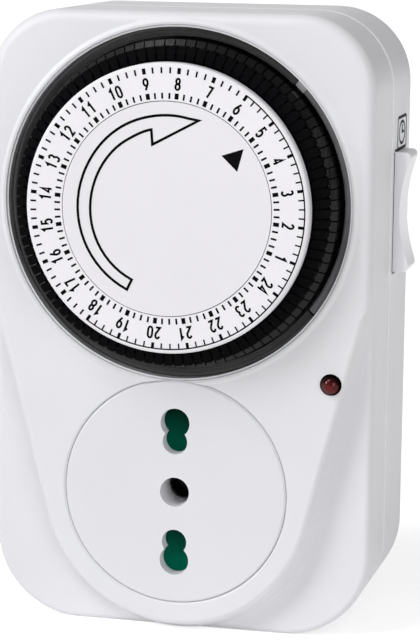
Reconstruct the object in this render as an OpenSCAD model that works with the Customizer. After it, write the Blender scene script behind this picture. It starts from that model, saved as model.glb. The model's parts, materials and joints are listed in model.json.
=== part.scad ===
// Plug-in 24-hour timer switch with an in-line three-hole socket.
// X is the width, Y the depth (front is -Y) and Z the height.
// The origin is on the base, at half the width and half the depth.

/* [Housing] */
// Width of the housing
body_w = 72; // [71:0.5:100]
// Height of the housing
body_h = 115; // [115:0.5:160]
// Depth of the housing without pins and dial
body_d = 40; // [40:0.5:60]
// Depth of the front cover, from its front face to the parting line
cover_d = 18; // [17:0.5:20]
// Wall thickness of both housing halves
wall = 2; // [1.6:0.1:2.4]
// Corner radius at the base
base_r = 16; // [12:0.5:18]
// Corner radius at the top
top_r = 14; // [12:0.5:16]
// Rounding of the raised front's edge
front_edge_r = 2.2; // [1:0.1:3]
// Rounding of the stepped-back corners' edge
recess_edge_r = 1.2; // [0.6:0.1:2]
// Rounding of the rear edge
rear_edge_r = 3.5; // [1:0.1:5]

/* [Shield] */
// How far the lower corners are stepped back from the front
step = 4.2; // [2.4:0.1:5]
// Radius of the raised front round the socket
shield_r = 25.4; // [24.5:0.1:26]
// Width of the shield's sloping side
shield_slope = 1.4; // [0.6:0.1:2]
// Lean of the shield's straight sides from upright
shield_lean = 14.4; // [10:0.2:18]

/* [Socket] */
// Height of the socket's axis above the base
socket_z = 26.8; // [26.8:0.1:27.2]
// Radius of the round socket insert
socket_r = 21; // [20:0.1:21.2]
// Thickness of the socket insert
insert_t = 2.8; // [2.4:0.1:3.4]
// Distance from the earth hole to the outer holes
pin_pitch = 13; // [12.5:0.1:13.5]
// Radius of the outer holes and the earth hole
hole_r = 2.75; // [2.6:0.05:2.9]
// Distance from the earth hole to the inner holes
small_pitch = 9.5; // [9:0.1:10]
// Radius of the inner holes
small_hole_r = 2.35; // [2.2:0.05:2.5]
// Travel of the safety shutter
shutter_travel = 7.2; // [6.6:0.1:7.6]

/* [Plug] */
// Radius of the plug pins
pin_r = 2.5; // [2.4:0.05:2.6]
// Length of the plug pins beyond the rear face
pin_len = 19; // [15:0.5:22]
// Radius of the pins' roots in the plug base
pin_root_r = 2.2; // [2:0.05:2.3]
// Radius of the round plug base
plug_base_r = 19; // [18:0.5:20]
// Thickness of the plug base
plug_base_t = 4.5; // [4:0.1:6]

/* [Dial] */
// Height of the dial's axis above the base
dial_z = 80.3; // [80:0.1:80.6]
// Outer radius of the ring of segments
dial_r = 28.8; // [24:0.1:28.8]
// Segments round the dial, one for each quarter of an hour
segment_count = 96; // [48:48:96]
// Radial depth of the segments' heads
segment_head = 1.3; // [1.1:0.1:1.5]
// Radial depth of the segments' guided stems
segment_stem = 1.15; // [1:0.05:1.3]
// Travel of a segment when it is pushed in
segment_travel = 2.5; // [1.5:0.1:2.5]
// How far the numbered ring stands in front of the housing
dial_proud = 7.7; // [7:0.1:9]
// How far the segments stand in front of the housing
segment_proud = 5; // [4:0.1:5.6]
// Radial width of the numbered ring
number_ring_w = 6.9; // [6:0.1:7.5]
// Gap between the segments and the retaining ring
dial_gap = 1.5; // [1:0.1:2]
// Radial width of the retaining ring
bezel_w = 1.65; // [1.2:0.05:1.8]
// Angle of the upper end of the paler ring section
window_from = 42.3; // [30:0.1:60]
// Angle of the lower end of the paler ring section
window_to = -37.5; // [-60:0.1:-30]
// Angle taken up by the key between the two ring sections
key_angle = 4.3; // [2:0.1:6]

/* [Gears] */
// Teeth of each reduction wheel
wheel_teeth = 80; // [80:2:80]
// Teeth of the rotor's and the reduction wheels' pinions
pinion_teeth = 8; // [8:1:8]
// Module of the reduction gears
gear_module = 0.3; // [0.25:0.01:0.3]
// Teeth of the dial's inner gear
dial_teeth = 72; // [72:1:72]
// Teeth of the output pinion
output_teeth = 10; // [10:1:10]
// Thickness of the wheels
wheel_t = 0.8; // [0.6:0.1:0.9]
// Distance from one wheel level to the next
level_step = 1.2; // [1.1:0.05:1.3]

/* [Rocker] */
// Height of the rocker's axis above the base
rocker_z = 77.7; // [76:0.1:79]
// Length of the rocker
rocker_h = 22.4; // [18:0.2:23]
// Width of the rocker
rocker_w = 8.5; // [7:0.1:9]
// How far the rocker's ends stand out of the side
rocker_proud = 2.9; // [2.5:0.1:4.5]
// How far the rocker's waist stands out of the side
rocker_waist = 1; // [0.6:0.1:1.4]
// Depth of the rocker's front edge behind the parting line
rocker_back = 4; // [3.5:0.1:5]

/* [Hidden] */
$fn = 64;

// clearances
fit = 0.1;         // between pieces that are pushed together
run = 0.05;        // radial, between a shaft and what turns on it
air = 0.3;         // beside pieces that move past each other
backlash = 0.1;    // between meshed teeth
eps = 0.01;
half_degrees = 90 / PI;    // half the degrees in a radian

// depths of the housing
front_y = -body_d / 2;
back_y = body_d / 2;
recess_y = front_y + step;
part_y = front_y + cover_d;
back_in = back_y - wall;

// housing screws, as far in from the side and from the top or base
screw_in_base = [9.5, 9.5];
screw_in_top = [8.2, 8.7];
screw_r = 1.3;
screw_head_r = 2.3;
screw_head_t = 1.8;
boss_r = 3;
post_r = 3.6;
screw_sink = 12;
rim_t = 0.9;
rim_h = 1.2;
post_top_y = part_y - rim_h - 0.2;
seam_w = 1;
seam_depth = 0.35;

// socket and plug
insert_gap = 0.12;
insert_edge = 0.35;
flange_w = 1.8;
carrier_half = [9, 19];
carrier_side = [15, 16];
shutter_t = 1.4;
insert_back_y = front_y + insert_t;
shutter_y = insert_back_y + air / 2;
carrier_y = insert_back_y + shutter_t + air;
carrier_d = 8.5;
carrier_floor = 1;
contact_mid = (pin_pitch + small_pitch) / 2;
contact_y = carrier_y + carrier_d - carrier_floor;
contact_t = 0.4;
earth_wall_r = hole_r + 0.75;
earth_tube_y = carrier_y + 2.5;
shutter_bar = [earth_wall_r + 1.2, earth_wall_r + 4.2];
shutter_start = small_pitch - small_hole_r - 0.85;
shutter_end = pin_pitch + hole_r + 0.85;
spring_end = shutter_bar[1] + shutter_travel + 1.6;
bar_t = 0.8;
bar_w = 4;
pin_head_r = 3.4;
pin_head_t = 1.2;
pin_head_y = back_y - plug_base_t - pin_head_t;
pin_neck = 0.3;
pin_tip = 1;
plug_flange_w = 2;
plug_flange_t = 1.4;

// dial, radii from the rim inwards
stem_r = dial_r - segment_head;
number_r = stem_r - segment_stem - run;
fin_r = stem_r - 0.1;
drum_r = number_r - 0.1;
drum_in = drum_r - 2.2;
disc_r = number_r - number_ring_w - fit - run;
opening_r = dial_r + dial_gap + bezel_w + fit;
bezel_r = opening_r - fit;
well_t = 1.5;
ledge_w = 2.3;
ring_gap = 0.15;
key_gap = 0.2;
joint_gap = 0.3;
pitch = 360 / segment_count;
fin_w = 0.3;
segment_gap = 0.24;

// dial, depths from the front backwards
number_y = front_y - dial_proud;
number_t = 2.2;
platform_y = number_y + number_t;
platform_t = 2;
segment_y = front_y - segment_proud;
drum_end_y = front_y + 11;
segment_end_y = drum_end_y;
bezel_y = front_y + 1.9;
bezel_back_y = drum_end_y - 1.5;
bezel_foot = 1;
well_end_y = bezel_back_y + 1;
hub_r = 5;
post_r_dial = 2.5;
post_neck_r = post_r_dial - 0.6;
post_flange_r = 5.5;
post_flange_t = 0.8;
hub_y = platform_y + 1.2;
clip_y = hub_y - 0.65;
clip_r = 4.2;
clip_t = 0.5;
disc_t = 1.6;

// movement
plate_t = 1.5;
front_plate_y = drum_end_y + 4;
front_plate_back = front_plate_y + plate_t;
level_5 = front_plate_back + 1.7;
level_4 = level_5 + level_step;
level_3 = level_4 + level_step;
level_2 = level_3 + level_step;
level_1 = level_2 + level_step;
rear_plate_y = level_1 + wheel_t + 0.5;
rear_plate_t = 1;
rear_plate_back = rear_plate_y + rear_plate_t;
mesh_d = gear_module * (wheel_teeth + pinion_teeth) / 2;
dial_module = 2 * (drum_in - 2.3) / (dial_teeth - 0.5);
output_d = dial_module * (dial_teeth - output_teeth) / 2;
output_angle = 200.1;
climb_angle = 60;
axle_r = 0.5;
axle_5 = [output_d * cos(output_angle), dial_z + output_d * sin(output_angle)];
axle_4 = axle_5 + [mesh_d, 0];
axle_3 = axle_4 + [mesh_d, 0];
axle_2 = axle_3 + mesh_d * [cos(climb_angle), sin(climb_angle)];
axle_1 = axle_2 - [mesh_d, 0];
axle_0 = axle_1 - [mesh_d, 0];
wheel_out = gear_module * (wheel_teeth / 2 + 0.8);
sleeve_r = 1.35;

// the movement's plates, round the axles
plate_side_in = axle_5[0] - 9;
plate_side_out = axle_2[0] + 3;
plate_low = axle_3[1] - wheel_out - 3.6;
plate_high = axle_2[1] + wheel_out + 5.6;
plate_corner_in = 2.7;
spacer_r = 1.7;
movement_screw_r = 0.85;
screw_room = 0.25;
plate_corners = [
    [plate_side_in + plate_corner_in, plate_low + plate_corner_in],
    [plate_side_out - plate_corner_in, plate_low + plate_corner_in],
    [plate_side_out - plate_corner_in, plate_high - plate_corner_in],
    [plate_side_in + plate_corner_in, plate_high - plate_corner_in]
];

// motor
motor_r = 17.5;
motor_wall = 0.8;
motor_d = 11.8;
rotor_r = 6.6;
pole_r = 7.4;
bobbin_r = 8.4;
bobbin_wall = 0.8;

// switch: the nose of the follower stands behind the segment at the pointer
pointer_angle = 39.8;
nose_r = (stem_r + dial_r) / 2 - 0.3;
nose = [nose_r * cos(pointer_angle), dial_z + nose_r * sin(pointer_angle)];
nose_y = segment_end_y + air;
lever_w = 3.6;
lever_t = 1.8;
lever_y = nose_y + 3.8;
lever_pivot_z = nose[1] - 28;
lever_pivot_y = lever_y + lever_t / 2;
lever_boss_r = 1.7;
follower_pin_r = 0.7;
push_z = nose[1] - 6;
blade_t = 0.3;
blade_y = lever_y + lever_t + 1.2;
blade_root_z = lever_pivot_z - 8;
blade_foot = 1.5;
blade_top_z = nose[1] + 4.2;
contact_z = nose[1] + 2.2;
contact_r = 1.6;
contact_bump = 0.8;
contact_gap = segment_travel + 0.15;
fixed_y = blade_y + blade_t + contact_bump + contact_gap;
strip_y = fixed_y + contact_bump;
strip_z = [contact_z - 2, contact_z + 2];

// rocker and its blade, from the housing's side inwards
side_x = body_w / 2;
rocker_y = part_y + rocker_back;
rocker_mid_y = rocker_y + rocker_w / 2;
rocker_end_y = rocker_y + rocker_w;
rocker_pivot_x = side_x - 3.4;
rocker_in_x = side_x - 5;
rocker_pin_r = 1;
rocker_lug = 1.2;
rocker_edge_r = 1.1;
window_front_gap = 0.8;
window_gap = 0.5;
override_x = rocker_in_x - 0.65;
override_y = rocker_mid_y - 2;
override_w = 4;
override_top_z = rocker_z + 10.5;
override_z = rocker_z + 5.5;
override_gap = 1;
override_contact_r = 1.3;
load_x = side_x - wall - 2.2;
load_y = back_in - 5;

// conductors
live_y = pin_head_y - bar_t;
live_turn_z = socket_z + 25;
load_turn_z = socket_z + 15.5;

// lamp
lamp = [side_x - 7, dial_z - 31.6];
lamp_r = 1.9;
lamp_dome = 1.5;

// ---- building blocks, in plan: x across, y up the front, z towards the back ----

module swap_yz() rotate([90, 0, 0]) mirror([0, 0, 1]) children();

module along_x() rotate([90, 0, 90]) children();

module at(p) translate([p[0], p[1], 0]) children();

module on_dial_axis() translate([0, dial_z, 0]) children();

module on_socket_axis() translate([0, socket_z, 0]) children();

module rod(r, z0, z1) translate([0, 0, z0]) cylinder(r = r, h = z1 - z0);

module tube(r, bore, z0, z1) difference() {
    rod(r, z0, z1);
    rod(bore, z0 - 1, z1 + 1);
}

module block(x0, x1, y0, y1, z0, z1) translate([x0, y0, z0]) cube([x1 - x0, y1 - y0, z1 - z0]);

// flat shape from z0 to z1
module sheet(z0, z1) translate([0, 0, z0]) linear_extrude(z1 - z0) children();

module round_rect(x0, x1, y0, y1, r) {
    translate([x0 + r, y0]) square([x1 - x0 - 2 * r, y1 - y0]);
    translate([x0, y0 + r]) square([x1 - x0, y1 - y0 - 2 * r]);
    for (x = [x0 + r, x1 - r], y = [y0 + r, y1 - r]) translate([x, y]) circle(r);
}

// one edge of the housing, from the middle outwards, its front corner rounded by e
module edge_profile(len, d, e) {
    square([len - e, d]);
    translate([0, e]) square([len, d - e]);
    translate([len - e, e]) circle(e);
}

// the housing's outline as a slab, its edges at z = 0 rounded by e
module slab(w, h, rb, rt, d, e) {
    translate([0, rb, 0]) swap_yz() linear_extrude(h - rb - rt) {
        edge_profile(w / 2, d, e);
        mirror([1, 0]) edge_profile(w / 2, d, e);
    }
    translate([rt - w / 2, h - rt, 0]) along_x() linear_extrude(w - 2 * rt) edge_profile(rt, d, e);
    translate([rb - w / 2, rb, 0]) mirror([0, 1, 0]) along_x()
        linear_extrude(w - 2 * rb) edge_profile(rb, d, e);
    for (side = [0, 1]) mirror([side, 0, 0]) {
        translate([w / 2 - rt, h - rt, 0]) rotate_extrude(angle = 90) edge_profile(rt, d, e);
        translate([w / 2 - rb, rb, 0]) rotate(-90) rotate_extrude(angle = 90) edge_profile(rb, d, e);
    }
}

// the housing's outline set in by inset, from depth z0 to z1
module outline(inset, z0, z1, e)
    translate([0, inset, z0])
        slab(body_w - 2 * inset, body_h - 2 * inset, base_r - inset, top_r - inset, z1 - z0, e);

// places its children at the two lower, the two upper or all four housing screws
module at_base_screws() for (side = [-1, 1])
    translate([side * (side_x - screw_in_base[0]), screw_in_base[1], 0]) children();

module at_top_screws() for (side = [-1, 1])
    translate([side * (side_x - screw_in_top[0]), body_h - screw_in_top[1], 0]) children();

module at_screws() {
    at_base_screws() children();
    at_top_screws() children();
}

// ---- gears ----

// outline points of one external tooth, centred on angle a, from root to tip and back
function tooth(m, teeth, a, r_root, r_tip, slack) = let (
    r = m * teeth / 2,
    half = 90 / teeth - slack / r * half_degrees,
    foot = min(half * 1.35, 176 / teeth)
) [
    [r_root, a - foot],
    [r, a - half],
    [r_tip, a - half * 0.42],
    [r_tip, a + half * 0.42],
    [r, a + half],
    [r_root, a + foot]
];

function polar(points) = [for (p = points) p[0] * [cos(p[1]), sin(p[1])]];

function gear_points(m, teeth, phase, add, ded, slack) = [
    for (i = [0 : teeth - 1])
        each polar(tooth(m, teeth, phase + i * 360 / teeth,
            m * (teeth / 2 - ded), m * (teeth / 2 + add), slack))
];

// external gear from z0 to z1
module gear(m, teeth, phase, z0, z1, add = 0.8, ded = 1.15)
    sheet(z0, z1) polygon(gear_points(m, teeth, phase, add, ded, backlash / 2));

// wheel of one reduction stage: rim with teeth, web with holes, bore for its axle
module stage_wheel(phase, z0) difference() {
    gear(gear_module, wheel_teeth, phase, z0, z0 + wheel_t);
    rod(axle_r + run, z0 - 1, z0 + wheel_t + 1);
    for (i = [0 : 4]) rotate(72 * i) translate([6.6, 0, 0]) rod(2.5, z0 - 1, z0 + wheel_t + 1);
}

module stage_pinion(phase, z0, z1) difference() {
    gear(gear_module, pinion_teeth, phase, z0, z1, 0.8, 1.3);
    rod(axle_r + run, z0 - 1, z1 + 1);
}

// wheel with the next pinion in front of it
module stage(wheel_phase, pinion_phase, z0) {
    stage_wheel(wheel_phase, z0);
    stage_pinion(pinion_phase, z0 - level_step - 0.2, z0);
}

// phase of a wheel so that a gap faces the pinion tooth that points at it
function facing(direction) = direction + 180 + 180 / wheel_teeth;

// ---- housing ----

// side of the shield, from its axis outwards
module shield_profile() {
    e = front_edge_r / 2;
    d = step + recess_edge_r;
    square([shield_r - e, d]);
    translate([shield_r - e, e]) circle(e);
    polygon([[0, e], [shield_r, e], [shield_r + shield_slope, step], [shield_r + shield_slope, d], [0, d]]);
}

// the raised part of the front: full width at the top, a shield round the socket below
module raised_front() {
    reach = (side_x + 2 - shield_r * cos(shield_lean)) / sin(shield_lean);
    shoulder = socket_z + reach * cos(shield_lean) - (shield_r + shield_slope) * sin(shield_lean) - 0.5;
    d = step + recess_edge_r;
    intersection() {
        outline(0, front_y, front_y + d, front_edge_r);
        union() {
            translate([0, socket_z, front_y]) {
                rotate(shield_lean - 180) rotate_extrude(angle = 180 - 2 * shield_lean) shield_profile();
                for (side = [0, 1]) mirror([side, 0, 0])
                    rotate(-shield_lean) swap_yz() linear_extrude(reach) shield_profile();
                linear_extrude(d) polygon([
                    [0, 0],
                    reach * [sin(shield_lean), cos(shield_lean)],
                    reach * [-sin(shield_lean), cos(shield_lean)]
                ]);
            }
            block(-body_w, body_w, shoulder, body_h + 1, front_y, front_y + d);
        }
    }
}

// groove round the housing at the parting line
module seam() difference() {
    outline(-1, part_y - seam_w / 2, part_y + seam_w / 2, 0.1);
    outline(seam_depth, part_y - seam_w, part_y + seam_w, 0.1);
}

// key of the cover that fills the notch between the two ring sections
module ring_key() on_dial_axis() rotate(window_from + key_gap) rotate_extrude(angle = key_angle - 2 * key_gap)
    polygon([
        [opening_r + 0.3, bezel_y - 0.3],
        [opening_r - 0.4, bezel_y - 0.1],
        [bezel_r - bezel_w + 0.1, bezel_y + 0.9],
        [bezel_r - bezel_w + 0.1, bezel_back_y + 0.1],
        [opening_r + 0.3, bezel_back_y + 0.1]
    ]);

// raised bead round the dial's opening
module lip() on_dial_axis() translate([0, 0, front_y]) rotate_extrude() {
    translate([opening_r - 1, 0.6]) square([2, wall - 0.6]);
    polygon([[opening_r, wall], [opening_r, 0.6], [opening_r + 0.45, -0.3], [opening_r + 0.85, -0.35],
        [opening_r + 1.7, 0.05], [opening_r + 1.7, wall]]);
}

module front_cover() color("whitesmoke") swap_yz() {
    difference() {
        union() {
            difference() {
                union() {
                    outline(0, recess_y, part_y, recess_edge_r);
                    raised_front();
                }
                outline(wall, recess_y + wall, part_y + 1, 0.8);
                intersection() {
                    outline(wall, front_y + wall, recess_y + wall + 1, 0.8);
                    block(-body_w, body_w, dial_z - 18, body_h, front_y, part_y);
                }
                on_socket_axis() rod(socket_r + flange_w + 0.3, front_y + wall, recess_y + wall + 1);
            }
            on_dial_axis() rod(opening_r + well_t, front_y + wall - 0.5, well_end_y);
            lip();
            at_base_screws() rod(boss_r, recess_y + wall - 0.5, post_top_y - fit);
            at_top_screws() rod(boss_r, front_y + wall - 0.5, post_top_y - fit);
        }
        on_dial_axis() rod(opening_r, front_y - 1, bezel_back_y);
        on_dial_axis() rod(opening_r - ledge_w, front_y - 1, part_y);
        on_socket_axis() {
            rod(socket_r + insert_gap, front_y - 1, front_y + wall + eps);
            translate([0, 0, front_y])
                cylinder(r1 = socket_r + insert_gap + insert_edge, r2 = socket_r + insert_gap, h = insert_edge);
        }
        at_screws() rod(screw_r + run, post_top_y - 7, part_y);
        at(lamp) rod(lamp_r + fit, front_y - 1, recess_y + wall + 1);
        seam();
    }
    ring_key();
}

// the window in the side for the rocker
module rocker_window() {
    reach = rocker_h / 2 + window_gap;
    block(side_x - wall - 1, side_x + 1, rocker_z - reach, rocker_z + reach, rocker_y - window_front_gap,
        rocker_end_y + window_gap);
}

// bracket that carries one end of the rocker's pin
module rocker_lug(y0) difference() {
    block(rocker_pivot_x - 2.6, side_x - wall + 0.5, rocker_z - 3, rocker_z + 3, y0, y0 + rocker_lug);
    translate([rocker_pivot_x, rocker_z, 0]) rod(rocker_pin_r + 0.01, y0 - 1, y0 + rocker_lug + 1);
}

module rear_housing() color("whitesmoke") swap_yz() {
    difference() {
        union() {
            difference() {
                mirror([0, 0, 1]) outline(0, -back_y, -part_y, rear_edge_r);
                mirror([0, 0, 1]) outline(wall, -back_in, 1 - part_y, rear_edge_r - wall);
            }
            difference() {
                union() {
                    outline(wall + fit, part_y - rim_h, part_y + 0.1, 0.2);
                    outline(wall - 0.5, part_y, part_y + 1.5, 0.1);
                }
                outline(wall + fit + rim_t, part_y - 3, part_y + 3, 0.1);
            }
            at_screws() rod(post_r, post_top_y, back_in + 0.5);
            for (corner = plate_corners) at(corner) rod(spacer_r + 0.6, rear_plate_back, back_in + 0.5);
        }
        at_screws() rod(screw_r + 0.2, post_top_y - 1, back_y + 1);
        at_screws() rod(screw_head_r + 0.3, back_y - screw_sink, back_y + 1);
        for (corner = plate_corners) at(corner)
            rod(movement_screw_r + run, rear_plate_back - 1, rear_plate_back + 7);
        on_socket_axis() rod(plug_base_r + fit, back_in - 1, back_y + 1);
        rocker_window();
        seam();
    }
    rocker_lug(rocker_y - window_front_gap - rocker_lug);
    rocker_lug(rocker_end_y + window_gap);
}

module housing_screws() color("silver") swap_yz() at_screws() {
    head_y = back_y - screw_sink;
    difference() {
        rod(screw_head_r, head_y, head_y + screw_head_t);
        for (turn = [0, 90]) rotate(turn) block(-1.5, 1.5, -0.3, 0.3, head_y + 0.8, head_y + 3);
    }
    rod(screw_r, post_top_y - 6, head_y + 0.1);
}

// ---- socket ----

// eight-shaped hole for the two sizes of pin
module pin_holes(z0, z1) for (side = [-1, 1]) {
    translate([0, side * pin_pitch, 0]) rod(hole_r, z0, z1);
    translate([0, side * small_pitch, 0]) rod(small_hole_r, z0, z1);
}

module socket_insert() color("whitesmoke") swap_yz() difference() {
    on_socket_axis() {
        rod(socket_r, front_y + insert_edge, insert_back_y);
        translate([0, 0, front_y]) cylinder(r1 = socket_r - insert_edge, r2 = socket_r, h = insert_edge);
        rod(socket_r + flange_w, front_y + wall + 0.05, insert_back_y);
        intersection() {
            for (side = [0, 1]) mirror([0, side, 0])
                block(-6, 11, shutter_end + 0.2, shutter_end + 1.7, insert_back_y - 0.5, carrier_y);
            rod(socket_r + flange_w, insert_back_y - 1, carrier_y + 1);
        }
        block(spring_end, spring_end + 1.4, -3, 3, insert_back_y - 0.5, carrier_y);
        rod(earth_wall_r, insert_back_y - 0.5, earth_tube_y);
    }
    on_socket_axis() pin_holes(front_y - 1, insert_back_y + 1);
    on_socket_axis() rod(hole_r, front_y - 1, earth_tube_y + 1);
    on_dial_axis() rod(opening_r + well_t + fit, front_y + wall - 0.05, part_y);
}

// two pads over the live and neutral holes, joined by a bar that clears the earth tube
module safety_shutter() color("#0a5a40") swap_yz() on_socket_axis() {
    pad_x = hole_r + 0.85;
    difference() {
        sheet(shutter_y, shutter_y + shutter_t) {
            for (side = [0, 1]) mirror([0, side])
                round_rect(-pad_x, shutter_bar[1], shutter_start, shutter_end, 0.8);
            translate([shutter_bar[0], -8]) square([shutter_bar[1] - shutter_bar[0], 16]);
        }
        for (side = [-1, 1]) translate([0, side * contact_mid, shutter_y]) rotate([0, -12, 0])
            block(-pad_x - 4, 0.4, -5, 5, -1.2, 0);
    }
}

// zigzag leaf that pushes the shutter home
module shutter_spring() color("silver") swap_yz() on_socket_axis() {
    turns = 6;
    leg = (spring_end - shutter_bar[1]) / turns;
    across = 2.2;
    width = 0.6;
    points = concat(
        [for (i = [0 : turns]) [shutter_bar[1] + i * leg, i % 2 == 0 ? -across : across]],
        [for (i = [turns : -1 : 0]) [shutter_bar[1] + i * leg, (i % 2 == 0 ? -across : across) + width]]
    );
    sheet(shutter_y + 0.2, shutter_y + shutter_t - 0.2) polygon(points);
}

// carrier with a chamber for each contact
module contact_carrier() color("gainsboro") swap_yz() on_socket_axis() {
    z1 = carrier_y + carrier_d;
    difference() {
        sheet(carrier_y, z1) {
            round_rect(-carrier_half[0], carrier_half[0], -carrier_half[1], carrier_half[1], 2);
            round_rect(carrier_half[0] - 5, carrier_side[0], -carrier_side[1], carrier_side[1], 2);
        }
        for (side = [-1, 1]) translate([0, side * contact_mid, 0])
            block(-4.2, 4.2, -5.6, 5.6, carrier_y - 1, z1 - carrier_floor);
        rod(earth_wall_r + 0.25, carrier_y - 1, z1 - carrier_floor);
        for (side = [-1, 1]) translate([0, side * contact_mid, 0]) block(-2.2, 2.2, -1, 1, z1 - 3, z1 + 1);
        block(-0.8, 0.6, -1.8, 1.8, z1 - 3, z1 + 1);
        block(10.4, 13.6, 2 - carrier_side[1], carrier_side[1] - 2, carrier_y + 1.2, z1 + 1);
    }
}

// sprung U of brass that grips either size of pin
module socket_clip() {
    y0 = carrier_y + 0.4;
    wall_x = 2.1;
    half = 5.2;
    for (side = [0, 1]) mirror([side, 0, 0]) {
        block(wall_x, wall_x + contact_t, -half, half, y0 + 1.2, contact_y);
        translate([wall_x, -half, y0 + 1.2]) rotate([0, 20, 0]) block(0, contact_t, 0, 2 * half, -1.2, 0.1);
    }
    block(-wall_x - contact_t, wall_x + contact_t, -half, half, contact_y - contact_t, contact_y);
    block(-1.5, 1.5, -bar_t / 2, bar_t / 2, contact_y - 0.1, contact_y + carrier_floor + 1.4);
}

module live_socket_contact() color("#c9a24b") swap_yz()
    translate([0, socket_z + contact_mid, 0]) socket_clip();

module neutral_socket_contact() color("#c9a24b") swap_yz()
    translate([0, socket_z - contact_mid, 0]) socket_clip();

module earth_socket_contact() color("#c9a24b") swap_yz() on_socket_axis() {
    bore = pin_r - 0.05;
    y0 = earth_tube_y + 0.2;
    difference() {
        tube(bore + contact_t, bore, y0, contact_y);
        block(-5, 5, -0.35, 0.35, y0 - 1, contact_y - 1.5);
    }
    rod(bore + contact_t, contact_y - contact_t, contact_y);
    block(-0.5, 0.3, -1.5, 1.5, contact_y - 0.1, contact_y + carrier_floor + 1.4);
}

// ---- plug ----

module plug_base() color("whitesmoke") swap_yz() on_socket_axis() difference() {
    union() {
        rod(plug_base_r, back_in - 0.5, back_y);
        rod(plug_base_r + plug_flange_w, back_in - plug_flange_t, back_in);
        sheet(back_y - plug_base_t, back_in) round_rect(-6, 6, -pin_pitch - 6, pin_pitch + 6, 3);
    }
    for (place = [-1, 0, 1]) translate([0, place * pin_pitch, 0]) rod(pin_root_r + 0.01, 0, back_y + 1);
}

// pin with a round nose, riveted to its bar behind the head
module plug_pin() {
    rod(pin_root_r, back_y - plug_base_t, back_y + pin_neck + 0.1);
    rod(pin_r, back_y + pin_neck, back_y + pin_len - pin_tip);
    translate([0, 0, back_y + pin_len - pin_tip]) rotate_extrude() {
        square([pin_r - pin_tip, pin_tip]);
        translate([pin_r - pin_tip, 0]) intersection() {
            circle(pin_tip);
            square(pin_tip);
        }
    }
    rod(pin_head_r, pin_head_y, back_y - plug_base_t);
}

module live_pin() color("silver") swap_yz() translate([0, socket_z + pin_pitch, 0]) plug_pin();

module neutral_pin() color("silver") swap_yz() translate([0, socket_z - pin_pitch, 0]) plug_pin();

module earth_pin() color("silver") swap_yz() on_socket_axis() plug_pin();

// ---- conductors ----

module earth_bar() color("#c9a24b") swap_yz() on_socket_axis() {
    block(0.3, 0.3 + bar_t, -bar_w / 2, bar_w / 2, contact_y + carrier_floor + 0.1, pin_head_y);
    block(-2, 0.3 + bar_t, -bar_w / 2, bar_w / 2, pin_head_y - bar_t, pin_head_y);
}

module neutral_bar() color("#c9a24b") swap_yz() translate([0, socket_z, 0]) {
    y_low = -contact_mid - bar_w / 2;
    x0 = 1.5;
    block(x0, x0 + bar_t, y_low, y_low + bar_w, contact_y + carrier_floor + 0.1, pin_head_y);
    block(-2, x0 + bar_t, -pin_pitch - 2, y_low + bar_w, pin_head_y - bar_t, pin_head_y);
}

// from the live pin up to the roots of both switch blades
module live_bar() color("#c9a24b") swap_yz() {
    y1 = pin_head_y;
    y0 = live_y;
    x_blade = nose[0];
    reach_y = blade_y + blade_t;
    block(-3, bar_w - 1, socket_z + pin_pitch - 3, live_turn_z, y0, y1);
    block(-3, override_x + 0.6, live_turn_z - bar_w, live_turn_z, y0, y1);
    block(x_blade - lever_w / 2, x_blade + lever_w / 2, live_turn_z - bar_t, live_turn_z, reach_y, y1);
    block(x_blade - lever_w / 2, x_blade + lever_w / 2, live_turn_z - bar_t, blade_root_z,
        reach_y, reach_y + bar_t);
    block(override_x - bar_t - blade_t, override_x - blade_t, live_turn_z - bar_w, blade_root_z,
        override_y, y1);
}

// from the fixed contacts down the side to the live socket contact
module load_bar() color("#c9a24b") swap_yz() {
    x1 = load_x + bar_t;
    low_y = contact_y + carrier_floor + 0.2;
    contact_x = override_x - blade_t - contact_bump - override_gap;
    block(nose[0] - 2.4, x1, strip_z[0], strip_z[1], strip_y, strip_y + bar_t);
    block(load_x, x1, strip_z[0], strip_z[1], strip_y, load_y + bar_w);
    block(load_x, x1, load_turn_z, strip_z[1], load_y, load_y + bar_w);
    block(load_x, x1, load_turn_z, load_turn_z + bar_w, low_y, load_y + bar_w);
    block(-1.4, x1, load_turn_z, load_turn_z + bar_w, low_y, low_y + bar_t);
    block(-1.4, 2.4, socket_z + contact_mid + bar_t / 2, load_turn_z + 1, low_y, low_y + bar_t);
    block(contact_x - contact_bump - bar_t, x1, override_z - 1.8, override_z + 1.8, load_y, load_y + bar_t);
    block(contact_x - contact_bump - bar_t, contact_x - contact_bump, override_z - 1.8, override_z + 1.8,
        override_y, load_y + bar_t);
}

// ---- switch ----

// arm whose nose stands behind the segments, moulded round its pin
module cam_follower() color("ivory") swap_yz() {
    x0 = nose[0] - lever_w / 2;
    difference() {
        union() {
            block(x0, x0 + lever_w, lever_pivot_z, nose[1] + 1.6, lever_y, lever_y + lever_t);
            translate([x0, lever_pivot_z, lever_pivot_y]) along_x()
                linear_extrude(lever_w) circle(lever_boss_r);
            translate([x0 + lever_w, nose[1], nose_y]) rotate([0, -90, 0]) linear_extrude(lever_w)
                polygon([[0, -0.7], [0, 0.7], [lever_y - nose_y + 0.2, 1.6], [lever_y - nose_y + 0.2, -1.6]]);
            block(nose[0] - 1, nose[0] + 1, push_z - 1, push_z + 1, lever_y + lever_t - 0.2, blade_y - air);
        }
        translate([x0 - 1, lever_pivot_z, lever_pivot_y]) along_x() linear_extrude(lever_w + 2)
            circle(follower_pin_r + run);
    }
}

module follower_pin() color("silver") swap_yz() translate([0, lever_pivot_z, lever_pivot_y]) {
    x0 = plate_side_out - 1.5;
    x1 = nose[0] + lever_w / 2 + 0.2;
    translate([x0, 0, 0]) along_x() linear_extrude(x1 - x0 + 0.1) circle(follower_pin_r);
    translate([x1, 0, 0]) along_x() linear_extrude(0.6) circle(follower_pin_r + 0.6);
}

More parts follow.
